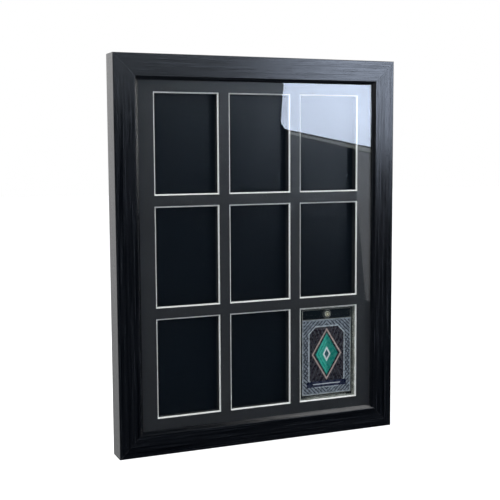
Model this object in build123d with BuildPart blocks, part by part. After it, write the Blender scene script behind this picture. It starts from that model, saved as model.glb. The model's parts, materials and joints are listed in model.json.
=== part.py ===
from build123d import *
import os

# Trading card frame: a mitred wooden moulding holds a clear sheet, a bevel-cut mount with
# nine windows, a foam insert with nine pockets and a backboard, closed by turn buttons.
# X runs to the right, the front faces -Y and Z is up. Millimetres.
# The origin is the centre of the moulding's bottom face.

# Driving dimensions

# Card, and the rim of the clear case round it
card_width = 63.5
card_height = 88.9
card_thickness = 0.4
card_play = 0.15
case_side = 4.7
case_foot = 5.6
case_head = 14.6

# Nine windows, and the pockets behind them
columns = 3
rows = 3
case_play = 0.3
mount_overlap = 0.95
window_gap_x = 14.9
window_gap_z = 14.5
mount_side = 18.8
mount_end = 13.4

# Moulding
face_width = 23.6
rail_wall = 20.0
lip_thickness = 4.0
sight_slope = 3.8
arris_radius = 0.6
sight_radius = 0.5
rear_gap = 0.2

# Stack of flat sheets inside the rebate, from the front
panel_clearance = 0.5
glazing_thickness = 2.0
facing_thickness = 0.2
core_thickness = 1.4
insert_thickness = 10.0
floor_thickness = 5.0
backboard_thickness = 3.2

# Corner nails, driven into the back of each mitre
nail_leg = 5.0
nail_gauge = 0.5
nail_height = 8.0
nail_spots = (7.0, 14.0)

# Turn buttons and their screws
button_width = 11.0
button_length = 30.0
button_thickness = 1.0
button_play = 0.1
button_inset = 10.0
button_spread = 170.0
screw_radius = 1.5
screw_fit = 0.1
screw_length = 13.0
screw_head_radius = 3.0
screw_head_height = 1.6
recess_span = 3.4
recess_width = 0.9
recess_depth = 1.1

# Strap hangers with a D-shaped ring
hanger_drop = 72.0
strap_width = 10.0
strap_gauge = 0.8
strap_inset = 1.5
strap_screw_inset = 7.0
strap_corner = 2.0
ring_wire = 1.2
ring_clearance = 0.1
ring_half_width = 7.0
ring_straight = 4.0
ring_corner = 2.6
ring_facets = 6

# Bumpers on the back of the side rails, near their ends
bumper_radius = 5.0
bumper_height = 3.0
bumper_inset = 10.0
bumper_corner = 34.0

# Magnetic card case in one of the pockets
filled_column = 2
filled_row = 0
case_depth_play = 0.2
case_chamfer = 1.0
case_joint = 4.6
magnet_radius = 3.2
magnet_height = 3.0
magnet_drop = 8.2
boss_radius = 5.0
relief_depth = 0.7
keeper_height = 1.5
tongue_length = 50.0
tongue_height = 1.6
tongue_inset = 1.6
tongue_reach = 1.4
tongue_play = 0.1

# Positions worked out from the sizes above

stack_depth = (glazing_thickness + facing_thickness + core_thickness + insert_thickness
               + floor_thickness + backboard_thickness)
frame_depth = lip_thickness + stack_depth + rear_gap
front_y = -frame_depth / 2
rear_y = frame_depth / 2
case_width = card_width + 2 * case_side
case_height = case_foot + card_height + case_head
pocket_width = case_width + 2 * case_play
pocket_height = case_height + 2 * case_play
window_width = pocket_width - 2 * mount_overlap
window_height = pocket_height - 2 * mount_overlap
pitch_x = window_width + window_gap_x
pitch_z = window_height + window_gap_z
sight_width = columns * pitch_x - window_gap_x + 2 * mount_side
sight_height = rows * pitch_z - window_gap_z + 2 * mount_end
frame_width = sight_width + 2 * (face_width + sight_slope)
frame_height = sight_height + 2 * (face_width + sight_slope)
glazing_y = front_y + lip_thickness
facing_y = glazing_y + glazing_thickness
core_y = facing_y + facing_thickness
insert_y = core_y + core_thickness
floor_y = insert_y + insert_thickness
backboard_y = floor_y + floor_thickness
centre_z = frame_height / 2
panel_width = frame_width - 2 * (rail_wall + panel_clearance)
panel_height = frame_height - 2 * (rail_wall + panel_clearance)
button_y = rear_y + button_play
head_y = button_y + button_thickness + button_play


def upright(y):
    """Plane at depth y, with X to the right and Z up. Extrude by -t to go t towards the back."""
    return Plane.XZ.offset(-y)


def nine(y, width, height):
    """Sketch of one rectangle for each window, at depth y."""
    with BuildSketch(upright(y)) as outlines:
        with Locations((0, centre_z)):
            with GridLocations(pitch_x, pitch_z, columns, rows):
                Rectangle(width, height)
    return outlines.sketch


def bevelled(y, depth, back_grow):
    """Nine window outlines at depth y, widened by what is left of the 45 degree bevel behind them."""
    grow = 2 * (back_grow + depth)
    return nine(y, window_width + grow, window_height + grow)


def panel(y):
    """Sketch of a sheet that fills the rebate, at depth y."""
    with BuildSketch(upright(y)) as outline:
        with Locations((0, centre_z)):
            Rectangle(panel_width, panel_height)
    return outline.sketch


def finish(builder, name):
    """Label a finished piece and write its file."""
    builder.part.label = name
    export_step(builder.part, f"parts/{name}.step")


os.makedirs("parts", exist_ok=True)

# Where the screws stand, as (X, Z) on the back of the rails

half_width = frame_width / 2
button_spots = {
    "button_left_lower": ((-half_width + button_inset, centre_z - button_spread / 2), 0),
    "button_left_upper": ((-half_width + button_inset, centre_z + button_spread / 2), 0),
    "button_right_lower": ((half_width - button_inset, centre_z - button_spread / 2), 180),
    "button_right_upper": ((half_width - button_inset, centre_z + button_spread / 2), 180),
    "button_top": ((0, frame_height - button_inset), -90),
    "button_bottom": ((0, button_inset), 90),
}
button_points = [spot for spot, turn in button_spots.values()]
hanger_z = frame_height - hanger_drop
hanger_points = [(side * (half_width - strap_inset - strap_screw_inset), hanger_z) for side in (-1, 1)]

# Corner nails: V-shaped strips whose two legs stand in the two rails of a corner

with BuildPart() as corner_nails:
    for side_x in (-1, 1):
        for side_z in (-1, 1):
            for spot in nail_spots:
                apex_x = side_x * (half_width - spot)
                apex_z = centre_z + side_z * (centre_z - spot)
                with BuildSketch(upright(rear_y)):
                    with Locations((apex_x - side_x * nail_leg / 2, apex_z)):
                        Rectangle(nail_leg + nail_gauge, nail_gauge)
                    with Locations((apex_x, apex_z - side_z * nail_leg / 2)):
                        Rectangle(nail_gauge, nail_leg + nail_gauge)
                extrude(amount=nail_height)
finish(corner_nails, "corner_nails")


# Moulding: one section, run along each side and mitred at both ends

def mitred_rail(corner, inward, along, length):
    """Rail that starts at a front corner, with its face inward of it, and runs along the side."""
    start = Vector(*corner)
    inward = Vector(*inward)
    along = Vector(*along)
    with BuildPart() as rail:
        with BuildSketch(Plane(origin=start, x_dir=inward, z_dir=along)) as section:
            with BuildLine():
                Polyline(
                    (0, 0),
                    (face_width, 0),
                    (face_width + sight_slope, lip_thickness),
                    (rail_wall, lip_thickness),
                    (rail_wall, frame_depth),
                    (0, frame_depth),
                    close=True,
                )
            make_face()
            outer_corners = section.vertices().group_by(Axis.X)[0]
            fillet(outer_corners, arris_radius)
            fillet(section.vertices().group_by(Axis.Y)[0].sort_by(Axis.X)[-1], sight_radius)
        extrude(amount=length)
        split(bisect_by=Plane(origin=start, z_dir=along - inward))
        split(bisect_by=Plane(origin=start + along * length, z_dir=-along - inward))
        add(corner_nails.part, mode=Mode.SUBTRACT)
        with BuildSketch(upright(rear_y)):
            with Locations(*button_points, *hanger_points):
                Circle(screw_radius)
        extrude(amount=screw_length, mode=Mode.SUBTRACT)
    return rail


left_rail = mitred_rail((-half_width, front_y, 0), (1, 0, 0), (0, 0, 1), frame_height)
finish(left_rail, "left_rail")
top_rail = mitred_rail((-half_width, front_y, frame_height), (0, 0, -1), (1, 0, 0), frame_width)
finish(top_rail, "top_rail")
right_rail = mitred_rail((half_width, front_y, frame_height), (-1, 0, 0), (0, 0, -1), frame_height)
finish(right_rail, "right_rail")
bottom_rail = mitred_rail((half_width, front_y, 0), (0, 0, 1), (-1, 0, 0), frame_width)
finish(bottom_rail, "bottom_rail")

# Flat sheets in the rebate

with BuildPart() as glazing:
    extrude(panel(glazing_y), amount=-glazing_thickness)
finish(glazing, "glazing")

with BuildPart() as mount_facing:
    extrude(panel(facing_y), amount=-facing_thickness)
    windows = bevelled(facing_y, facing_thickness, core_thickness)
    extrude(windows, amount=-facing_thickness, taper=45, mode=Mode.SUBTRACT)
finish(mount_facing, "mount_facing")

with BuildPart() as mount_core:
    extrude(panel(core_y), amount=-core_thickness)
    windows = bevelled(core_y, core_thickness, 0)
    extrude(windows, amount=-core_thickness, taper=45, mode=Mode.SUBTRACT)
finish(mount_core, "mount_core")

with BuildPart() as pocket_insert:
    extrude(panel(insert_y), amount=-insert_thickness)
    extrude(nine(insert_y, pocket_width, pocket_height), amount=-insert_thickness, mode=Mode.SUBTRACT)
finish(pocket_insert, "pocket_insert")

with BuildPart() as pocket_floor:
    extrude(panel(floor_y), amount=-floor_thickness)
finish(pocket_floor, "pocket_floor")

with BuildPart() as backboard:
    extrude(panel(backboard_y), amount=-backboard_thickness)
finish(backboard, "backboard")

# Turn buttons: flat steel tongues with a rounded tip, each on its own screw

button_hole = screw_radius + screw_fit


def turn_button(spot, turn):
    """Tongue that points from its screw towards the backboard."""
    with BuildPart() as button:
        with BuildSketch(upright(button_y)):
            with Locations(Location((*spot, 0), (0, 0, turn))):
                with Locations(((button_length - button_width) / 2, 0)):
                    SlotOverall(button_length, button_width)
                Circle(button_hole, mode=Mode.SUBTRACT)
        extrude(amount=-button_thickness)
    return button


for name, (spot, turn) in button_spots.items():
    finish(turn_button(spot, turn), name)


# Screws: flat heads with a cross recess, over the buttons and the hanger straps

def screw(spot, under_head):
    """Screw driven from the back into the rail, turned as a profile about its own axis."""
    with BuildPart() as turned:
        axis_plane = Plane(origin=(spot[0], 0, spot[1]), x_dir=(1, 0, 0), z_dir=(0, 0, 1))
        with BuildSketch(axis_plane):
            with BuildLine():
                Polyline(
                    (0, rear_y - screw_length),
                    (0, under_head + screw_head_height),
                    (screw_head_radius, under_head + screw_head_height),
                    (screw_head_radius, under_head),
                    (screw_radius, under_head),
                    (screw_radius, rear_y - screw_length),
                    close=True,
                )
            make_face()
        revolve(axis=Axis((spot[0], 0, spot[1]), (0, 1, 0)))
        with BuildSketch(upright(under_head + screw_head_height)):
            with Locations(spot):
                Rectangle(recess_span, recess_width)
                Rectangle(recess_width, recess_span)
        extrude(amount=recess_depth, mode=Mode.SUBTRACT)
    return turned


with BuildPart() as button_screws:
    for spot in button_points:
        add(screw(spot, head_y).part)
finish(button_screws, "button_screws")

# Hangers: a strap folded round the straight leg of a D-shaped ring

loop_bore = ring_wire + ring_clearance
loop_radius = loop_bore + strap_gauge
ring_axis_y = rear_y + loop_radius
strap_reach = rail_wall - strap_inset - loop_radius
folded_gauge = 2 * strap_gauge


def hanger_strap(side):
    """Folded strap on the back of a side rail, with its loop towards the middle of the frame."""
    outer_x = side * (half_width - strap_inset)
    loop_x = outer_x - side * strap_reach
    flat_x = outer_x - side * (strap_reach - loop_bore - strap_gauge / 2) / 2
    with BuildPart() as strap:
        with BuildSketch(Plane.XY.offset(hanger_z - strap_width / 2)):
            with Locations((loop_x, ring_axis_y)):
                Circle(loop_radius)
            with Locations((flat_x, rear_y + folded_gauge / 2)):
                Rectangle(strap_reach - loop_bore - strap_gauge / 2, folded_gauge)
            with Locations((loop_x, ring_axis_y)):
                Circle(loop_bore, mode=Mode.SUBTRACT)
        extrude(amount=strap_width)
        with BuildSketch(upright(rear_y)):
            with Locations((outer_x - side * strap_screw_inset, hanger_z)):
                Circle(screw_radius + screw_fit)
        extrude(amount=-folded_gauge, mode=Mode.SUBTRACT)
        outer_corners = strap.edges().filter_by(Axis.Y).group_by(Axis.X)[0 if side < 0 else -1]
        chamfer(outer_corners, strap_corner)
    return strap


def hanger_ring(side):
    """D-shaped wire ring that turns in the loop, lying along the backboard."""
    loop_x = side * (half_width - strap_inset - strap_reach)
    side_z = ring_half_width
    turn_z = ring_half_width - ring_corner
    tip = ring_straight + ring_half_width
    with BuildPart() as ring:
        plane = Plane(origin=(loop_x, ring_axis_y, hanger_z), x_dir=(-side, 0, 0), z_dir=(0, side, 0))
        with BuildLine(plane) as path:
            leg = Line((0, -turn_z), (0, turn_z))
            RadiusArc((0, turn_z), (ring_corner, side_z), ring_corner)
            Line((ring_corner, side_z), (ring_straight, side_z))
            ThreePointArc((ring_straight, side_z), (tip, 0), (ring_straight, -side_z))
            Line((ring_straight, -side_z), (ring_corner, -side_z))
            RadiusArc((ring_corner, -side_z), (0, -turn_z), ring_corner)
        with BuildSketch(Plane(origin=leg @ 0.5, z_dir=leg % 0.5)):
            RegularPolygon(ring_wire, ring_facets)
        sweep(path=path.wire())
    return ring


hanger_strap_left = hanger_strap(-1)
finish(hanger_strap_left, "hanger_strap_left")
hanger_strap_right = hanger_strap(1)
finish(hanger_strap_right, "hanger_strap_right")
hanger_ring_left = hanger_ring(-1)
finish(hanger_ring_left, "hanger_ring_left")
hanger_ring_right = hanger_ring(1)
finish(hanger_ring_right, "hanger_ring_right")

with BuildPart() as hanger_screws:
    for spot in hanger_points:
        add(screw(spot, rear_y + folded_gauge).part)
finish(hanger_screws, "hanger_screws")

# Bumpers: soft pads that keep the frame off the wall

with BuildPart() as bumpers:
    with BuildSketch(upright(rear_y)):
        for side in (-1, 1):
            for height in (bumper_corner, frame_height - bumper_corner):
                with Locations((side * (half_width - bumper_inset), height)):
                    Circle(bumper_radius)
    extrude(amount=-bumper_height)
finish(bumpers, "bumpers")

# Magnetic card case: two clear halves hooked at the bottom and held by a magnet at the top

case_thickness = insert_thickness - 2 * case_depth_play
case_y = insert_y + case_depth_play
joint_y = case_y + case_joint
case_rear_y = case_y + case_thickness
pocket_x = (filled_column - (columns - 1) / 2) * pitch_x
pocket_z = centre_z + (filled_row - (rows - 1) / 2) * pitch_z
case_bottom = pocket_z - pocket_height / 2
case_z = case_bottom + case_height / 2
card_z = case_bottom + case_foot + card_height / 2
magnet_z = case_bottom + case_height - magnet_drop
tongue_z = case_bottom + tongue_inset
relief_bottom = card_z + card_height / 2 + 2 * card_play
relief_top = case_bottom + case_height - 3 * case_chamfer

with BuildPart() as case_front:
    with BuildSketch(upright(case_y)):
        with Locations((pocket_x, case_z)):
            Rectangle(case_width, case_height)
    extrude(amount=-case_joint)
    chamfer(case_front.faces().sort_by(Axis.Y)[0].edges(), case_chamfer)
    with BuildSketch(upright(joint_y)):
        with Locations((pocket_x, (relief_bottom + relief_top) / 2)):
            Rectangle(card_width, relief_top - relief_bottom)
        with Locations((pocket_x, magnet_z)):
            Circle(boss_radius, mode=Mode.SUBTRACT)
    extrude(amount=relief_depth, mode=Mode.SUBTRACT)
    with BuildSketch(upright(joint_y)):
        with Locations((pocket_x, magnet_z)):
            Circle(magnet_radius)
    extrude(amount=magnet_height, mode=Mode.SUBTRACT)
    with BuildSketch(upright(joint_y)):
        with Locations((pocket_x, tongue_z + tongue_height / 2)):
            Rectangle(tongue_length, tongue_height)
    extrude(amount=-tongue_reach)
finish(case_front, "case_front")

with BuildPart() as case_back:
    with BuildSketch(upright(joint_y)):
        with Locations((pocket_x, case_z)):
            Rectangle(case_width, case_height)
    extrude(amount=joint_y - case_rear_y)
    chamfer(case_back.faces().sort_by(Axis.Y)[-1].edges(), case_chamfer)
    with BuildSketch(upright(joint_y)):
        with Locations((pocket_x, card_z)):
            Rectangle(card_width + 2 * card_play, card_height + 2 * card_play)
    extrude(amount=-card_thickness, mode=Mode.SUBTRACT)
    with BuildSketch(upright(joint_y)):
        with Locations((pocket_x, magnet_z)):
            Circle(magnet_radius)
    extrude(amount=-keeper_height, mode=Mode.SUBTRACT)
    with BuildSketch(upright(joint_y)):
        with Locations((pocket_x, tongue_z + tongue_height / 2)):
            Rectangle(tongue_length + 2 * tongue_play, tongue_height + 2 * tongue_play)
    extrude(amount=-(tongue_reach + tongue_play), mode=Mode.SUBTRACT)
finish(case_back, "case_back")

with BuildPart() as case_magnet:
    with BuildSketch(upright(joint_y)):
        with Locations((pocket_x, magnet_z)):
            Circle(magnet_radius)
    extrude(amount=magnet_height)
finish(case_magnet, "case_magnet")

with BuildPart() as case_keeper:
    with BuildSketch(upright(joint_y)):
        with Locations((pocket_x, magnet_z)):
            Circle(magnet_radius)
    extrude(amount=-keeper_height)
finish(case_keeper, "case_keeper")

with BuildPart() as card:
    with BuildSketch(upright(joint_y)):
        with Locations((pocket_x, card_z)):
            Rectangle(card_width, card_height)
    extrude(amount=-card_thickness)
finish(card, "card")
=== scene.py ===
import json
import math
import bmesh
import bpy
from mathutils import Matrix, Vector


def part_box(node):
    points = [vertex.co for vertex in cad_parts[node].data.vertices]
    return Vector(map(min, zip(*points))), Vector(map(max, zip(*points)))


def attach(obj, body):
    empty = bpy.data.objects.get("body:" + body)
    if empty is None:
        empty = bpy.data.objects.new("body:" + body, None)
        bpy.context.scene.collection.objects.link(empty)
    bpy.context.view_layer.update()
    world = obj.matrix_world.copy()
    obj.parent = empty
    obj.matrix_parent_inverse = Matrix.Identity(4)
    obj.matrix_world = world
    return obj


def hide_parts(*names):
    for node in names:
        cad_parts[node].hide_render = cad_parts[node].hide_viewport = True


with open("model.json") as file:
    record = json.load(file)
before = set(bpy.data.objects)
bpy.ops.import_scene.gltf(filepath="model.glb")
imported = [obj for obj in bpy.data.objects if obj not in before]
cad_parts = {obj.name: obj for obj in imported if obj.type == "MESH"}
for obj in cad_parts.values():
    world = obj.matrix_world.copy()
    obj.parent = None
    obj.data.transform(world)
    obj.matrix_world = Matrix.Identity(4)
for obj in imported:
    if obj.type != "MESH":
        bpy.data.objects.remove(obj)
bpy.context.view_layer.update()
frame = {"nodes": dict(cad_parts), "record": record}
nodes = frame["nodes"]
MM = 0.001


# Camera, where the photograph was taken from

# Width and height of the photograph, in its own pixels
PHOTO_SIZE = 500
CAMERA_PLACE = Vector((-0.4410, -1.0140, 0.3332))
CAMERA_AIM = Vector((-0.0152, -0.0130, 0.2213))
CAMERA_ROLL = math.radians(-0.29)
# Lens and sensor in millimetres
CAMERA_LENS = 70.58
CAMERA_SENSOR = 36.0
NEAREST_SEEN = 0.01
FURTHEST_SEEN = 50


def make_camera():
    """Camera at the photograph's place, with its tilt and framing."""
    data = bpy.data.cameras.new("camera")
    data.lens = CAMERA_LENS
    data.sensor_width = CAMERA_SENSOR
    data.clip_start = NEAREST_SEEN
    data.clip_end = FURTHEST_SEEN
    camera = bpy.data.objects.new("camera", data)
    bpy.context.collection.objects.link(camera)
    turn = (CAMERA_AIM - CAMERA_PLACE).to_track_quat("-Z", "Y").to_matrix()
    turn = turn @ Matrix.Rotation(CAMERA_ROLL, 3, "Z")
    camera.matrix_world = Matrix.Translation(CAMERA_PLACE) @ turn.to_4x4()
    bpy.context.scene.camera = camera
    return turn


camera_turn = make_camera()


def sight_line(px, py):
    """Direction from the camera through a place in the photograph."""
    focal = PHOTO_SIZE * CAMERA_LENS / CAMERA_SENSOR
    half = PHOTO_SIZE / 2
    return (camera_turn @ Vector(((px - half) / focal, (half - py) / focal, -1))).normalized()


# Node helpers

FLOAT = "NodeSocketFloat"
VECTOR = "NodeSocketVector"


class Board:
    """A node tree with short calls for adding and wiring its nodes."""

    def __init__(self, tree):
        self.tree = tree

    def node(self, kind, **settings):
        made = self.tree.nodes.new(kind)
        for key, value in settings.items():
            setattr(made, key, value)
        return made

    def plug(self, socket, value):
        """Wires an output to a socket, or sets the socket to a plain value."""
        if isinstance(value, bpy.types.NodeSocket):
            self.tree.links.new(value, socket)
        else:
            socket.default_value = value

    def math(self, operation, a, b=0.0):
        made = self.node("ShaderNodeMath", operation=operation)
        self.plug(made.inputs[0], a)
        self.plug(made.inputs[1], b)
        return made.outputs[0]

    def plus(self, a, b):
        return self.math("ADD", a, b)

    def minus(self, a, b):
        return self.math("SUBTRACT", a, b)

    def times(self, a, b):
        return self.math("MULTIPLY", a, b)

    def apart(self, a, b):
        """How far a and b are from each other, whichever is more."""
        return self.math("ABSOLUTE", self.minus(a, b))

    def vector_math(self, operation, a, b):
        made = self.node("ShaderNodeVectorMath", operation=operation)
        self.plug(made.inputs[0], a)
        self.plug(made.inputs[1], b)
        return made.outputs

    def stretch(self, vector, scale):
        return self.vector_math("MULTIPLY", vector, scale)["Vector"]

    def split(self, vector):
        """X, Y and Z of a vector."""
        made = self.node("ShaderNodeSeparateXYZ")
        self.plug(made.inputs[0], vector)
        return made.outputs

    def ramp(self, value, low, high, out_low=0.0, out_high=1.0):
        """Value spread from low..high onto out_low..out_high, and held at the ends."""
        made = self.node("ShaderNodeMapRange")
        ends = {"Value": value, "From Min": low, "From Max": high, "To Min": out_low, "To Max": out_high}
        for name, end in ends.items():
            self.plug(made.inputs[name], end)
        return made.outputs["Result"]

    def spread(self, mask, low, high):
        """Low where the mask is 0, and high where it is 1."""
        return self.ramp(mask, 0.0, 1.0, low, high)

    def mix(self, mask, a, b, share=1.0):
        """Colour a where the mask is 0, and this share of the way to b where it is 1."""
        made = self.node("ShaderNodeMix", data_type="RGBA")
        self.plug(made.inputs["Factor"], self.times(mask, share) if share < 1.0 else mask)
        self.plug(made.inputs["A"], a)
        self.plug(made.inputs["B"], b)
        return made.outputs["Result"]

    def noise(self, vector, scale, detail=3.0, roughness=0.55):
        made = self.node("ShaderNodeTexNoise")
        self.plug(made.inputs["Vector"], vector)
        self.plug(made.inputs["Scale"], scale)
        self.plug(made.inputs["Detail"], detail)
        self.plug(made.inputs["Roughness"], roughness)
        return made.outputs["Fac"]

    def place(self):
        """Place on the object, in metres."""
        return self.node("ShaderNodeTexCoord").outputs["Object"]

    def bump(self, height, strength, distance):
        made = self.node("ShaderNodeBump")
        self.plug(made.inputs["Height"], height)
        self.plug(made.inputs["Strength"], strength)
        self.plug(made.inputs["Distance"], distance)
        return made.outputs["Normal"]

    def use(self, group, **values):
        """Places a shared effect, with its own values."""
        made = self.node("ShaderNodeGroup")
        made.node_tree = group
        for key, value in values.items():
            self.plug(made.inputs[key.replace("_", " ").title()], value)
        return made.outputs


def effect(name, inputs, outputs):
    """Empty node group with named sockets. Returns the group, its board, and its inside ends."""
    group = bpy.data.node_groups.new(name, "ShaderNodeTree")
    for label, kind, value in inputs:
        socket = group.interface.new_socket(label, in_out="INPUT", socket_type=kind)
        socket.default_value = value
    for label, kind in outputs:
        group.interface.new_socket(label, in_out="OUTPUT", socket_type=kind)
    board = Board(group)
    return group, board, board.node("NodeGroupInput").outputs, board.node("NodeGroupOutput").inputs


def own_node(made, kind):
    """The node of this kind that a new material comes with."""
    return next(node for node in made.node_tree.nodes if node.type == kind)


def material(name, **surface):
    """New material. Returns it with its board and the sockets of its Principled shader."""
    made = bpy.data.materials.new(name)
    made.use_nodes = True
    shader = own_node(made, "BSDF_PRINCIPLED")
    for key, value in surface.items():
        shader.inputs[key.replace("_", " ").title().replace("Ior", "IOR")].default_value = value
    return made, Board(made.node_tree), shader.inputs


# Shared effects

def make_grain():
    """Long streaks with short open pores, as in planed wood under a thin finish."""
    drift_scale = 0.38
    drift_share = 0.4
    pore_depth = 0.07
    group, board, given, out = effect(
        "wood_grain",
        [("Vector", VECTOR, (0, 0, 0)), ("Streak Scale", FLOAT, 1000.0), ("Pore Scale", FLOAT, 2600.0)],
        [("Streaks", FLOAT), ("Pores", FLOAT), ("Height", FLOAT)],
    )
    broad = board.times(given["Streak Scale"], drift_scale)
    drift = board.noise(given["Vector"], broad, detail=3.0, roughness=0.6)
    fine = board.noise(given["Vector"], given["Streak Scale"], detail=4.0, roughness=0.6)
    streaks = board.plus(board.times(fine, 1 - drift_share), board.times(drift, drift_share))
    specks = board.noise(given["Vector"], given["Pore Scale"], detail=2.0, roughness=0.5)
    pores = board.ramp(specks, 0.60, 0.70)
    board.plug(out["Streaks"], board.ramp(streaks, 0.425, 0.60))
    board.plug(out["Pores"], pores)
    board.plug(out["Height"], board.minus(streaks, board.times(pores, pore_depth)))
    return group


def make_wear():
    """Mask that is 1 along the outer edges of a piece and breaks up with fine noise."""
    group, board, given, out = effect(
        "edge_wear",
        [("Radius", FLOAT, 0.6 * MM), ("Breakup", FLOAT, 400.0)],
        [("Mask", FLOAT)],
    )
    rounded = board.node("ShaderNodeBevel", samples=4)
    board.plug(rounded.inputs["Radius"], given["Radius"])
    facing = board.node("ShaderNodeNewGeometry").outputs["Normal"]
    agreement = board.vector_math("DOT_PRODUCT", rounded.outputs["Normal"], facing)["Value"]
    edge = board.ramp(agreement, 0.999, 0.90)
    spots = board.noise(board.place(), given["Breakup"])
    board.plug(out["Mask"], board.times(edge, board.ramp(spots, 0.35, 0.65)))
    return group


def make_fibres():
    """Fine short fibres and specks, as in paper, board and pressed fibre sheets."""
    cloud_scale = 0.03
    group, board, given, out = effect(
        "fibres",
        [("Scale", FLOAT, 1500.0)],
        [("Specks", FLOAT), ("Clouds", FLOAT), ("Height", FLOAT)],
    )
    fine = board.noise(board.place(), given["Scale"], detail=4.0, roughness=0.7)
    clouds = board.noise(board.place(), board.times(given["Scale"], cloud_scale))
    board.plug(out["Specks"], board.ramp(fine, 0.35, 0.65))
    board.plug(out["Clouds"], board.ramp(clouds, 0.3, 0.7))
    board.plug(out["Height"], fine)
    return group


def make_smudges():
    """Faint handling marks that change the shine of smooth surfaces."""
    group, board, given, out = effect(
        "smudges",
        [("Scale", FLOAT, 30.0), ("Low", FLOAT, 0.3), ("High", FLOAT, 0.4)],
        [("Roughness", FLOAT), ("Mask", FLOAT)],
    )
    clouds = board.noise(board.place(), given["Scale"], detail=5.0, roughness=0.65)
    mask = board.ramp(clouds, 0.40, 0.65)
    board.plug(out["Mask"], mask)
    board.plug(out["Roughness"], board.spread(mask, given["Low"], given["High"]))
    return group


wood_grain = make_grain()
edge_wear = make_wear()
fibres = make_fibres()
smudges = make_smudges()


# Materials

def black_wood(name, stretch):
    """Black lacquer over open-grained wood, with its grain drawn out along one axis."""
    lacquer = (0.0001, 0.0002, 0.0006, 1)
    streak = (0.0044, 0.0053, 0.0072, 1)
    pore = (0.0005, 0.0006, 0.0008, 1)
    rubbed = (0.10, 0.10, 0.11, 1)
    made, board, shader = material(name, ior=1.5, specular_ior_level=0.46)
    grain = board.use(wood_grain, vector=board.stretch(board.place(), stretch))
    wear = board.use(edge_wear, radius=0.7 * MM)
    body = board.mix(grain["Streaks"], lacquer, streak)
    body = board.mix(grain["Pores"], body, pore, share=0.5)
    board.plug(shader["Base Color"], board.mix(wear["Mask"], body, rubbed, share=0.25))
    board.plug(shader["Roughness"], board.spread(grain["Streaks"], 0.125, 0.285))
    board.plug(shader["Normal"], board.bump(grain["Height"], strength=0.7, distance=0.24 * MM))
    return made


def lets_light_through(made, board):
    """Adds the clear path that lets lamps reach what is behind a clear piece."""
    both = board.node("ShaderNodeMixShader")
    board.plug(both.inputs[0], board.node("ShaderNodeLightPath").outputs["Is Shadow Ray"])
    board.plug(both.inputs[1], own_node(made, "BSDF_PRINCIPLED").outputs["BSDF"])
    board.plug(both.inputs[2], board.node("ShaderNodeBsdfTransparent").outputs["BSDF"])
    board.plug(own_node(made, "OUTPUT_MATERIAL").inputs["Surface"], both.outputs["Shader"])


def clear_plastic(name, tint, smudge_scale, dullest):
    """Clear plastic with faint smudges in its shine."""
    made, board, shader = material(name, base_color=tint, transmission_weight=1.0, ior=1.49)
    marks = board.use(smudges, scale=smudge_scale, low=0.0, high=dullest)
    board.plug(shader["Roughness"], marks["Roughness"])
    lets_light_through(made, board)
    return made


def mount_paper():
    """Black paper face of the mount board."""
    dark = (0.0120, 0.0128, 0.0146, 1)
    pale = (0.0180, 0.0191, 0.0215, 1)
    cloud = (0.0115, 0.0122, 0.0135, 1)
    made, board, shader = material("mount_paper", ior=1.5, specular_ior_level=0.52)
    paper = board.use(fibres, scale=1800.0)
    body = board.mix(paper["Specks"], dark, pale)
    board.plug(shader["Base Color"], board.mix(paper["Clouds"], body, cloud, share=0.3))
    board.plug(shader["Roughness"], board.spread(paper["Specks"], 0.34, 0.44))
    board.plug(shader["Normal"], board.bump(paper["Height"], strength=0.12, distance=0.06 * MM))
    return made


def mount_white():
    """White core of the mount board, with the faint drag of the bevel cutter."""
    shaded = (0.69, 0.685, 0.66, 1)
    white = (0.82, 0.815, 0.785, 1)
    made, board, shader = material("mount_white", ior=1.45)
    paper = board.use(fibres, scale=2600.0)
    board.plug(shader["Base Color"], board.mix(paper["Specks"], shaded, white))
    board.plug(shader["Roughness"], board.spread(paper["Clouds"], 0.6, 0.75))
    board.plug(shader["Normal"], board.bump(paper["Height"], strength=0.2, distance=0.1 * MM))
    return made


def pocket_paper():
    """Satin black paper on the sheet behind the pockets."""
    dark = (0.0006, 0.0018, 0.0034, 1)
    pale = (0.0014, 0.0030, 0.0052, 1)
    cloud = (0.0006, 0.0014, 0.0024, 1)
    made, board, shader = material("pocket_paper", ior=1.5, specular_ior_level=0.30)
    paper = board.use(fibres, scale=1300.0)
    body = board.mix(paper["Specks"], dark, pale)
    board.plug(shader["Base Color"], board.mix(paper["Clouds"], body, cloud, share=0.4))
    board.plug(shader["Roughness"], board.spread(paper["Specks"], 0.27, 0.33))
    board.plug(shader["Normal"], board.bump(paper["Height"], strength=0.10, distance=0.05 * MM))
    return made


def black_foam():
    """Black closed-cell foam, matt, with fine pits."""
    dark = (0.008, 0.009, 0.010, 1)
    pale = (0.015, 0.0165, 0.018, 1)
    cloud = (0.011, 0.012, 0.0135, 1)
    made, board, shader = material("black_foam", ior=1.5, specular_ior_level=0.25)
    cells = board.node("ShaderNodeTexVoronoi", feature="DISTANCE_TO_EDGE")
    board.plug(cells.inputs["Vector"], board.place())
    board.plug(cells.inputs["Scale"], 1600.0)
    pits = board.ramp(cells.outputs["Distance"], 0.0, 0.25)
    foam = board.use(fibres, scale=900.0)
    body = board.mix(pits, dark, pale)
    board.plug(shader["Base Color"], board.mix(foam["Clouds"], body, cloud, share=0.4))
    board.plug(shader["Roughness"], board.spread(foam["Specks"], 0.62, 0.78))
    board.plug(shader["Normal"], board.bump(pits, strength=0.3, distance=0.2 * MM))
    return made


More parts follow.
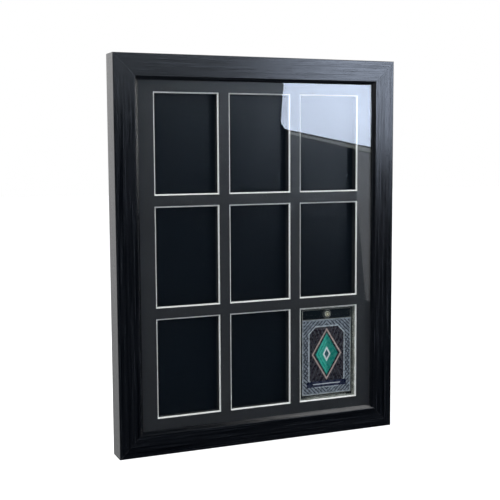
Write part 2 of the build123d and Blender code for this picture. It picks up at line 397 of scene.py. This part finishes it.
def backing_board():
    """Brown hardboard with darker fibres and a slight sheen on its smooth side."""
    brown = (0.20, 0.115, 0.060, 1)
    pale_brown = (0.33, 0.205, 0.115, 1)
    dark_fibre = (0.13, 0.072, 0.038, 1)
    cloud = (0.26, 0.165, 0.10, 1)
    made, board, shader = material("backing_board", ior=1.45)
    sheet = board.use(fibres, scale=700.0)
    coarse = board.noise(board.place(), scale=420.0, detail=4.0, roughness=0.65)
    body = board.mix(sheet["Specks"], brown, pale_brown)
    body = board.mix(board.ramp(coarse, 0.56, 0.70), body, dark_fibre, share=0.6)
    board.plug(shader["Base Color"], board.mix(sheet["Clouds"], body, cloud, share=0.35))
    board.plug(shader["Roughness"], board.spread(sheet["Clouds"], 0.42, 0.62))
    board.plug(shader["Normal"], board.bump(sheet["Height"], strength=0.25, distance=0.2 * MM))
    return made


def plated_steel(name, dull, bright, roughness):
    """Plated steel with drawn scratches and brighter worn edges."""
    worn = (0.82, 0.82, 0.80, 1)
    made, board, shader = material(name, metallic=1.0)
    drawn = board.stretch(board.place(), (1.0, 1.0, 0.15))
    scratches = board.noise(drawn, scale=4000.0, detail=3.0, roughness=0.6)
    clouds = board.noise(board.place(), scale=220.0, detail=4.0)
    wear = board.use(edge_wear, radius=0.4 * MM, breakup=900.0)
    body = board.mix(board.ramp(clouds, 0.35, 0.65), dull, bright)
    board.plug(shader["Base Color"], board.mix(wear["Mask"], body, worn))
    board.plug(shader["Roughness"], board.ramp(scratches, 0.3, 0.7, roughness - 0.05, roughness + 0.07))
    board.plug(shader["Normal"], board.bump(scratches, strength=0.06, distance=0.04 * MM))
    return made


def bumper_rubber():
    """Soft dark pad with dust in its surface."""
    rubber = (0.022, 0.022, 0.023, 1)
    dusty = (0.055, 0.054, 0.052, 1)
    made, board, shader = material("bumper_rubber", ior=1.5)
    dust = board.use(fibres, scale=2200.0)
    board.plug(shader["Base Color"], board.mix(dust["Specks"], rubber, dusty))
    board.plug(shader["Roughness"], board.spread(dust["Clouds"], 0.7, 0.9))
    board.plug(shader["Normal"], board.bump(dust["Height"], strength=0.3, distance=0.1 * MM))
    return made


def case_rim_painted_light():
    """Moulded rim of the case. Its cut walls are partly clear and partly a pale colour, painted light for
    the bright bands that clear walls show.
    """
    shaded = (0.42, 0.45, 0.42, 1)
    bright = (0.66, 0.67, 0.60, 1)
    made, board, shader = material("case_rim_painted_light", transmission_weight=0.62, ior=1.49)
    marks = board.use(smudges, scale=160.0, low=0.12, high=0.38)
    board.plug(shader["Base Color"], board.mix(marks["Mask"], shaded, bright))
    board.plug(shader["Roughness"], marks["Roughness"])
    lets_light_through(made, board)
    return made


def case_edge_highlight():
    """Rounded edges of the case, in a pale opaque colour: painted highlights that draw them as thin lines
    of light.
    """
    shaded = (0.42, 0.44, 0.41, 1)
    bright = (0.60, 0.61, 0.56, 1)
    made, board, shader = material("case_edge_highlight", ior=1.49)
    marks = board.use(smudges, scale=120.0, low=0.22, high=0.42)
    board.plug(shader["Base Color"], board.mix(marks["Mask"], shaded, bright))
    board.plug(shader["Roughness"], marks["Roughness"])
    return made


def magnet_metal():
    """Bright gilt plating with a ring turned in its face, drawn only as a dark ring of painted shade."""
    gilt = (0.86, 0.80, 0.58, 1)
    silvery = (0.80, 0.78, 0.70, 1)
    shadow = (0.10, 0.095, 0.07, 1)
    made, board, shader = material("magnet_metal", metallic=0.75)
    marks = board.use(smudges, scale=500.0, low=0.40, high=0.55)
    low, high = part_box("case_magnet")
    middle = Vector(((low.x + high.x) / 2, 0, (low.z + high.z) / 2))
    face_place = board.stretch(board.place(), (1, 0, 1))
    distance = board.vector_math("DISTANCE", face_place, middle)["Value"]
    from_middle = board.times(distance, 2 / (high.x - low.x))
    # Ring of painted shade where the turned ring lies in the face.
    groove_shade = board.times(board.ramp(from_middle, 0.42, 0.50), board.ramp(from_middle, 0.74, 0.66))
    body = board.mix(marks["Mask"], gilt, silvery)
    board.plug(shader["Base Color"], board.mix(groove_shade, body, shadow))
    board.plug(shader["Roughness"], marks["Roughness"])
    return made


# Printed card, laid out in millimetres from its middle

# Boxes with cut corners: half width, half height, and the two added up at the cut
FIELD_BOX = (22.5, 35.5, 50.0)
RIM_BOX = (24.0, 37.0, 52.2)
BORDER_SIDE = 30.4
BORDER_RISE = 43.0
FAN_RISE = 25.0
FAN_SLOPE = 0.62
RAY_SLOPE = 0.45
# Diamonds: height of the middle, half width and half height
HALO = (3.0, 19.5, 31.0)
GEM = (3.0, 14.5, 25.0)
GEM_TABLE = (3.0, 5.0, 9.0)
GEM_CORE = (3.0, 3.0, 5.4)
BAR_UP = -32.5
BAR_SIDE = 26.0
BAR_RISE = 3.4
BAR_LINE_SIDE = 18.0
BAR_LINE_RISE = 0.55


class CardLayout(Board):
    """Board with measures of the card's face, from its middle: across and up, and the same without sign."""

    def __init__(self, tree):
        super().__init__(tree)
        low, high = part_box("card")
        middle = (low + high) / 2
        place = self.split(self.place())
        self.across = self.times(self.minus(place["X"], middle.x), 1 / MM)
        self.up = self.times(self.minus(place["Z"], middle.z), 1 / MM)
        self.side = self.math("ABSOLUTE", self.across)
        self.rise = self.math("ABSOLUTE", self.up)
        self.corner = self.plus(self.side, self.rise)

    def within(self, value, edge, soft=0.25):
        """1 where the value is under the edge."""
        return self.ramp(value, edge + soft, edge - soft)

    def cut_box(self, half_width, half_height, cut):
        """1 inside a box with cut corners."""
        box = self.times(self.within(self.side, half_width), self.within(self.rise, half_height))
        return self.times(box, self.within(self.corner, cut))

    def stripes(self, value, pitch, share, soft=0.06):
        """Stripes of one pitch, with this share of each inked."""
        phase = self.math("FRACT", self.times(value, 1 / pitch))
        return self.ramp(self.apart(phase, 0.5), share / 2 + soft, share / 2 - soft)

    def diamond(self, middle_up, half_width, half_height):
        """Measure that grows from 0 in the middle of a diamond to 1 on its edge."""
        wide = self.times(self.side, 1 / half_width)
        tall = self.times(self.apart(self.up, middle_up), 1 / half_height)
        return self.plus(wide, tall)


def card_border(card):
    """Silver border with dark lines, a plain edge and a bright rim round the field."""
    dull_silver = (0.20, 0.23, 0.28, 1)
    bright_silver = (0.34, 0.38, 0.43, 1)
    line_ink = (0.030, 0.038, 0.055, 1)
    edge_silver = (0.36, 0.40, 0.45, 1)
    rim_silver = (0.50, 0.55, 0.60, 1)
    fan = card.minus(card.times(card.rise, FAN_SLOPE), card.side)
    fan_lines = card.times(card.stripes(fan, pitch=4.2, share=0.30), card.within(card.rise, FAN_RISE))
    lines = card.math("MAXIMUM", card.stripes(card.corner, pitch=4.6, share=0.34), fan_lines)
    silver = card.mix(card.noise(card.place(), scale=90.0), dull_silver, bright_silver)
    inside_side = card.within(card.side, BORDER_SIDE, soft=0.15)
    inside_rise = card.within(card.rise, BORDER_RISE, soft=0.15)
    lined = card.mix(lines, silver, line_ink)
    colour = card.mix(card.times(inside_side, inside_rise), edge_silver, lined)
    return card.mix(card.cut_box(*RIM_BOX), colour, rim_silver)


def card_field(card, field, colour):
    """Dark clouded field with faint rays."""
    black = (0.004, 0.005, 0.008, 1)
    plum = (0.030, 0.022, 0.030, 1)
    ray_grey = (0.16, 0.19, 0.23, 1)
    clouds = card.noise(card.place(), scale=70.0, detail=4.0, roughness=0.6)
    colour = card.mix(field, colour, card.mix(clouds, black, plum))
    slant = card.minus(card.side, card.times(card.rise, RAY_SLOPE))
    rays = card.times(field, card.stripes(slant, pitch=5.2, share=0.10))
    return card.mix(rays, colour, ray_grey, share=0.45)


def card_gem(card, colour):
    """Teal gem with facets, one side darker, a pale table, a deep core and a rosy line round it."""
    rosy = (0.52, 0.40, 0.37, 1)
    night = (0.010, 0.012, 0.018, 1)
    teal = (0.020, 0.285, 0.225, 1)
    bright_teal = (0.050, 0.450, 0.365, 1)
    dark_teal = (0.012, 0.20, 0.165, 1)
    pale = (0.70, 0.72, 0.74, 1)
    deep = (0.03, 0.10, 0.12, 1)
    halo = card.diamond(*HALO)
    colour = card.mix(card.within(halo, 1.0, soft=0.02), colour, rosy, share=0.85)
    colour = card.mix(card.within(halo, 0.90, soft=0.02), colour, night)
    gem = card.diamond(*GEM)
    facets = card.mix(card.stripes(gem, pitch=0.25, share=0.30), teal, bright_teal)
    facets = card.mix(card.ramp(card.across, -1.0, 1.0), facets, dark_teal)
    colour = card.mix(card.within(gem, 1.0, soft=0.025), colour, facets)
    colour = card.mix(card.within(card.diamond(*GEM_TABLE), 1.0, soft=0.06), colour, pale)
    return card.mix(card.within(card.diamond(*GEM_CORE), 1.0, soft=0.08), colour, deep)


def card_bar(card, colour):
    """Navy bar low on the card, with a pale line along it."""
    navy = (0.012, 0.016, 0.045, 1)
    pale = (0.55, 0.58, 0.62, 1)
    from_bar = card.apart(card.up, BAR_UP)
    bar = card.times(card.within(card.side, BAR_SIDE), card.within(from_bar, BAR_RISE))
    line = card.times(card.within(card.side, BAR_LINE_SIDE), card.within(from_bar, BAR_LINE_RISE))
    return card.mix(line, card.mix(bar, colour, navy), pale)


def card_print():
    """Generic printed card: lined silver border, dark field, teal gem and navy bar."""
    made, _, shader = material("card_print", ior=1.5)
    card = CardLayout(made.node_tree)
    field = card.cut_box(*FIELD_BOX)
    colour = card_field(card, field, card_border(card))
    card.plug(shader["Base Color"], card_bar(card, card_gem(card, colour)))
    sheen = card.noise(card.place(), scale=260.0)
    card.plug(shader["Roughness"], card.ramp(sheen, 0.3, 0.7, 0.22, 0.34))
    card.plug(shader["Metallic"], card.times(card.minus(1.0, field), 0.35))
    return made


# Finishes of the CAD nodes

ALONG_GRAIN = 0.012
UPRIGHT_WOOD = black_wood("black_wood_upright", (1.0, 1.0, ALONG_GRAIN))
ACROSS_WOOD = black_wood("black_wood_across", (ALONG_GRAIN, 1.0, 1.0))
ZINC = plated_steel("zinc_steel", (0.50, 0.50, 0.47, 1), (0.64, 0.64, 0.62, 1), roughness=0.32)
SCREW = plated_steel("screw_steel", (0.46, 0.46, 0.45, 1), (0.60, 0.60, 0.58, 1), roughness=0.28)
NAIL = plated_steel("nail_steel", (0.36, 0.36, 0.37, 1), (0.50, 0.50, 0.52, 1), roughness=0.4)
CLEAR_SHEET = clear_plastic("clear_sheet", (0.97, 0.985, 0.98, 1), smudge_scale=18.0, dullest=0.02)
CLEAR_CASE = clear_plastic("clear_case", (0.97, 0.985, 0.975, 1), smudge_scale=45.0, dullest=0.012)
CASE_RIM_PAINTED_LIGHT = case_rim_painted_light()
CASE_EDGE_HIGHLIGHT = case_edge_highlight()
GILT = magnet_metal()

FINISHES = {
    "left_rail": UPRIGHT_WOOD,
    "right_rail": UPRIGHT_WOOD,
    "top_rail": ACROSS_WOOD,
    "bottom_rail": ACROSS_WOOD,
    "corner_nails": NAIL,
    "glazing": CLEAR_SHEET,
    "mount_facing": mount_paper(),
    "mount_core": mount_white(),
    "pocket_insert": black_foam(),
    "pocket_floor": pocket_paper(),
    "case_front": CLEAR_CASE,
    "case_back": CLEAR_CASE,
    "case_magnet": GILT,
    "case_keeper": GILT,
    "card": card_print(),
    "backboard": backing_board(),
    "button_screws": SCREW,
    "hanger_screws": SCREW,
    "bumpers": bumper_rubber(),
}
for name in nodes:
    if name.startswith(("button_", "hanger_")):
        FINISHES.setdefault(name, ZINC)

for name, finish in FINISHES.items():
    slots = nodes[name].data.materials
    if len(slots) == 0:
        slots.append(finish)
    for index in range(len(slots)):
        slots[index] = finish


# Pieces shaped over their CAD nodes, with gaps, edges and wires in millimetres

SAME_CORNER = 0.001
FLAT_ANGLE = math.radians(0.5)
SMOOTH_ANGLE = math.radians(30)
ROUNDED_ANGLE = math.radians(40)
# Walls count as one where their normals agree by this share or more
SAME_WALL = 0.5
# Faces of the case count as its rim where they face the front or back by less than this share
RIM_FACING = 0.9
RING_WIRE = 1.15
RING_CORNER = 2.6
RING_STEPS = 10
BODIES = frame["record"]["behaviour"]["bodies"]
BODY_OF = {node: body for body, members in BODIES.items() for node in members}


def joined_copy(node):
    """Mesh of a node with its flat faces joined up, ready to be reshaped."""
    solid = bmesh.new()
    solid.from_mesh(nodes[node].data)
    bmesh.ops.remove_doubles(solid, verts=solid.verts, dist=SAME_CORNER * MM)
    bmesh.ops.dissolve_limit(solid, angle_limit=FLAT_ANGLE, verts=solid.verts, edges=solid.edges)
    return solid


def draw_in(solid, gap):
    """Moves each wall inwards by a small gap, so that it doesn't lie on its neighbour's face."""
    moves = []
    for corner in solid.verts:
        walls = []
        for face in corner.link_faces:
            if all(face.normal.dot(known) < SAME_WALL for known in walls):
                walls.append(face.normal.copy())
        moves.append(sum(walls, Vector()) * -gap)
    for corner, move in zip(solid.verts, moves):
        corner.co += move


def shaped(name, node, gap=0.0, edge=0.2, steps=2):
    """Piece that stands for a node, drawn in by a gap and with its sharp edges rounded."""
    solid = joined_copy(node)
    if gap:
        draw_in(solid, gap * MM)
    mesh = bpy.data.meshes.new(name)
    solid.to_mesh(mesh)
    solid.free()
    mesh.materials.append(FINISHES[node])
    for face in mesh.polygons:
        face.use_smooth = True
    mesh.set_sharp_from_angle(angle=SMOOTH_ANGLE)
    piece = bpy.data.objects.new(name, mesh)
    bpy.context.collection.objects.link(piece)
    rounding = piece.modifiers.new("rounded_edges", "BEVEL")
    rounding.width = edge * MM
    rounding.segments = steps
    rounding.limit_method = "ANGLE"
    rounding.angle_limit = ROUNDED_ANGLE
    rounding.harden_normals = True
    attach(piece, BODY_OF[node])
    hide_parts(node)
    return piece


def case_half(side):
    """Half of the case, with materials of their own on its cut walls and its rounded edges: painted light
    bands and painted highlight lines.
    """
    piece = shaped(f"case_{side}_half", f"case_{side}", gap=0.03, edge=0.25)
    finishes = piece.data.materials
    finishes.append(CASE_RIM_PAINTED_LIGHT)
    finishes.append(CASE_EDGE_HIGHLIGHT)
    # Rounded edges take the pale edge material: painted highlight lines.
    piece.modifiers["rounded_edges"].material = finishes.find(CASE_EDGE_HIGHLIGHT.name)
    sheet = finishes.find(CLEAR_CASE.name)
    rim = finishes.find(CASE_RIM_PAINTED_LIGHT.name)
    # Cut walls take the rim material with its painted light; faces to the front and back stay clear.
    for face in piece.data.polygons:
        face.material_index = rim if abs(face.normal.y) < RIM_FACING else sheet


def smooth_ring(name, node, side):
    """Round wire bent into a D, with its straight leg to the left (-1) or to the right (1)."""
    low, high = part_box(node)
    middle = (low + high) / 2
    wire = RING_WIRE * MM
    bend = RING_CORNER * MM
    half = (high.z - low.z) / 2 - wire
    leg_x = (low.x if side < 0 else high.x) - side * wire
    straight = (high.x - low.x) - 2 * wire - half
    arc = [math.radians(90 * step / RING_STEPS) for step in range(RING_STEPS + 1)]
    path = []
    for end in (1, -1):
        corner = [(bend - bend * math.cos(a), end * (half - bend + bend * math.sin(a))) for a in arc]
        bow = [(straight + half * math.sin(a), end * half * math.cos(a)) for a in arc]
        run = corner + bow
        path += run if end > 0 else run[::-1][1:]
    curve = bpy.data.curves.new(name, "CURVE")
    curve.dimensions = "3D"
    curve.bevel_depth = wire
    curve.bevel_resolution = 4
    line = curve.splines.new("POLY")
    line.points.add(len(path) - 1)
    line.use_cyclic_u = True
    for point, (out, up) in zip(line.points, path):
        point.co = (leg_x - side * out, middle.y, middle.z + up, 1)
    line.use_smooth = True
    curve.materials.append(FINISHES[node])
    ring = bpy.data.objects.new(name, curve)
    bpy.context.collection.objects.link(ring)
    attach(ring, BODY_OF[node])
    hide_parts(node)


shaped("glazing_sheet", "glazing", gap=0.06, edge=0.2)
for side in ("front", "back"):
    case_half(side)
shaped("case_magnet_disc", "case_magnet", gap=0.05, edge=0.35)
for name in nodes:
    if name.startswith("button_") and name != "button_screws":
        shaped(name + "_plate", name, edge=0.22)
    if name.startswith("hanger_strap_"):
        shaped(name + "_fold", name, edge=0.2)
for name in ("button_screws", "hanger_screws"):
    shaped(name + "_heads", name, edge=0.35, steps=3)
shaped("bumper_pads", "bumpers", edge=0.9, steps=4)
smooth_ring("hanger_ring_left_wire", "hanger_ring_left", -1)
smooth_ring("hanger_ring_right_wire", "hanger_ring_right", 1)


# Studio

GLASS_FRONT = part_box("glazing")[0].y
PANEL_DISTANCE = 1.6
# Haze on the lit panels, from its dimmest to its brightest share of their strength
HAZE_DIMMEST = 0.86
HAZE_BRIGHTEST = 1.10
FLOOR_REACH = 6.0
# Height above the top edge of the photograph, in its pixels
ABOVE_PHOTO = -90

# Lit panels: name, colour, strength, and corners where the photograph shows them in the glass
PANELS = (
    ("window_glow", (0.70, 0.80, 1.0), 9.9,
     ((297, ABOVE_PHOTO), (281, 122), (285, 129), (371, 147), (450, 152), (450, ABOVE_PHOTO))),
    ("upper_glow", (0.78, 0.88, 1.0), 1.45,
     ((30, ABOVE_PHOTO), (30, 104), (128, 88), (137, 75), (297, 76), (297, ABOVE_PHOTO))),
    ("sill_glow", (0.92, 0.97, 0.92), 1.5,
     ((289, 131.5), (371, 148.7), (371, 153), (330, 142.8), (289, 134))),
    ("margin_glow", (0.97, 0.98, 1.0), 0.6,
     ((356, 151), (357, 200), (366, 300), (372, 302), (372, 154))),
)

# Lamps: name, place, point aimed at, width and height, and power in watts
LAMPS = (
    ("overhead", (-0.9, -1.0, 2.0), (0, 0, 0.15), (1.6, 1.2), 30),
    ("left_side", (-1.7, -0.35, 0.9), (0, 0, 0.22), (1.0, 1.0), 4),
    ("right_side", (2.0, -1.1, 0.6), (0, 0, 0.22), (0.8, 0.8), 8),
    ("ledge_light", (0.96, -0.51, 1.49), (0.1, 0, 0.02), (0.5, 0.5), 3.4),
    ("low_bounce", (-0.5, -0.9, 0.03), (0, 0, 0.3), (1.2, 0.5), 5),
)


def mirrored(px, py):
    """Place on the lit panels that the photograph shows in the glass at px, py."""
    ray = sight_line(px, py)
    hit = CAMERA_PLACE + ray * ((GLASS_FRONT - CAMERA_PLACE.y) / ray.y)
    ray.y = -ray.y
    return hit + ray * (PANEL_DISTANCE / -ray.y)


def flat_sheet(name, corners):
    """Flat sheet of the stage, such as the floor or a lit panel."""
    mesh = bpy.data.meshes.new(name)
    mesh.from_pydata(corners, [], [tuple(range(len(corners)))])
    sheet = bpy.data.objects.new(name, mesh)
    bpy.context.collection.objects.link(sheet)
    return sheet


def unseen_in_glass(thing):
    """Leaves the floor or a lamp out of reflections, with or without the clear sheet in between."""
    thing.visible_glossy = False
    thing.visible_transmission = False


def glow(name, colour, strength, corners):
    """Lit panel with a faint haze, seen only in reflections and by its light."""
    panel = flat_sheet(name, [tuple(mirrored(*corner)) for corner in corners])
    panel.visible_camera = False
    made = bpy.data.materials.new(name)
    made.use_nodes = True
    made.node_tree.nodes.clear()
    board = Board(made.node_tree)
    lamp = board.node("ShaderNodeEmission")
    board.plug(lamp.inputs["Color"], (*colour, 1))
    haze = board.noise(board.stretch(board.place(), (1.0, 1.0, 2.2)), scale=2.6, roughness=0.5)
    power = board.ramp(haze, 0.32, 0.68, strength * HAZE_DIMMEST, strength * HAZE_BRIGHTEST)
    board.plug(lamp.inputs["Strength"], power)
    output = board.node("ShaderNodeOutputMaterial")
    board.plug(output.inputs["Surface"], lamp.outputs["Emission"])
    panel.data.materials.append(made)


def area_lamp(name, place, aim, size, power):
    """Soft lamp that the camera doesn't see."""
    data = bpy.data.lights.new(name, "AREA")
    data.shape = "RECTANGLE"
    data.size, data.size_y = size
    data.energy = power
    lamp = bpy.data.objects.new(name, data)
    bpy.context.collection.objects.link(lamp)
    lamp.location = place
    lamp.rotation_euler = (Vector(aim) - Vector(place)).to_track_quat("-Z", "Y").to_euler()
    lamp.visible_camera = False
    return lamp


def make_world():
    """White to the camera. Reflections see a dark room in front and a light one behind."""
    floor_dark = (0.006, 0.009, 0.014, 1)
    room_dark = (0.018, 0.030, 0.046, 1)
    floor_light = (0.48, 0.49, 0.50, 1)
    wall_light = (0.88, 0.88, 0.89, 1)
    ceiling_light = (1.25, 1.25, 1.26, 1)
    white = (1, 1, 1, 1)
    world = bpy.data.worlds.new("studio")
    bpy.context.scene.world = world
    world.use_nodes = True
    world.node_tree.nodes.clear()
    board = Board(world.node_tree)
    facing = board.split(board.node("ShaderNodeTexCoord").outputs["Generated"])
    front = board.mix(board.ramp(facing["Z"], -0.35, 0.10), floor_dark, room_dark)
    back = board.mix(board.ramp(facing["Z"], -0.35, -0.08), floor_light, wall_light)
    back = board.mix(board.ramp(facing["Z"], -0.08, 0.12), back, ceiling_light)
    room = board.mix(board.ramp(facing["Y"], -0.05, 0.45), front, back)
    seen = board.node("ShaderNodeLightPath").outputs["Is Camera Ray"]
    background = board.node("ShaderNodeBackground")
    board.plug(background.inputs["Color"], board.mix(seen, room, white))
    output = board.node("ShaderNodeOutputWorld")
    board.plug(output.inputs["Surface"], background.outputs["Background"])


def make_floor():
    """Pale floor that the frame stands on."""
    near = -FLOOR_REACH
    far = FLOOR_REACH
    floor = flat_sheet("floor", [(near, near, 0), (far, near, 0), (far, far, 0), (near, far, 0)])
    paint, _, _ = material(
        "floor_paint",
        base_color=(0.60, 0.60, 0.60, 1),
        roughness=0.9,
        emission_color=(1, 1, 1, 1),
        emission_strength=0.74,
    )
    floor.data.materials.append(paint)
    unseen_in_glass(floor)


for panel in PANELS:
    glow(*panel)
make_world()
make_floor()
lamps = {lamp[0]: area_lamp(*lamp) for lamp in LAMPS}
unseen_in_glass(lamps["low_bounce"])
bpy.context.scene.view_settings.view_transform = "Standard"
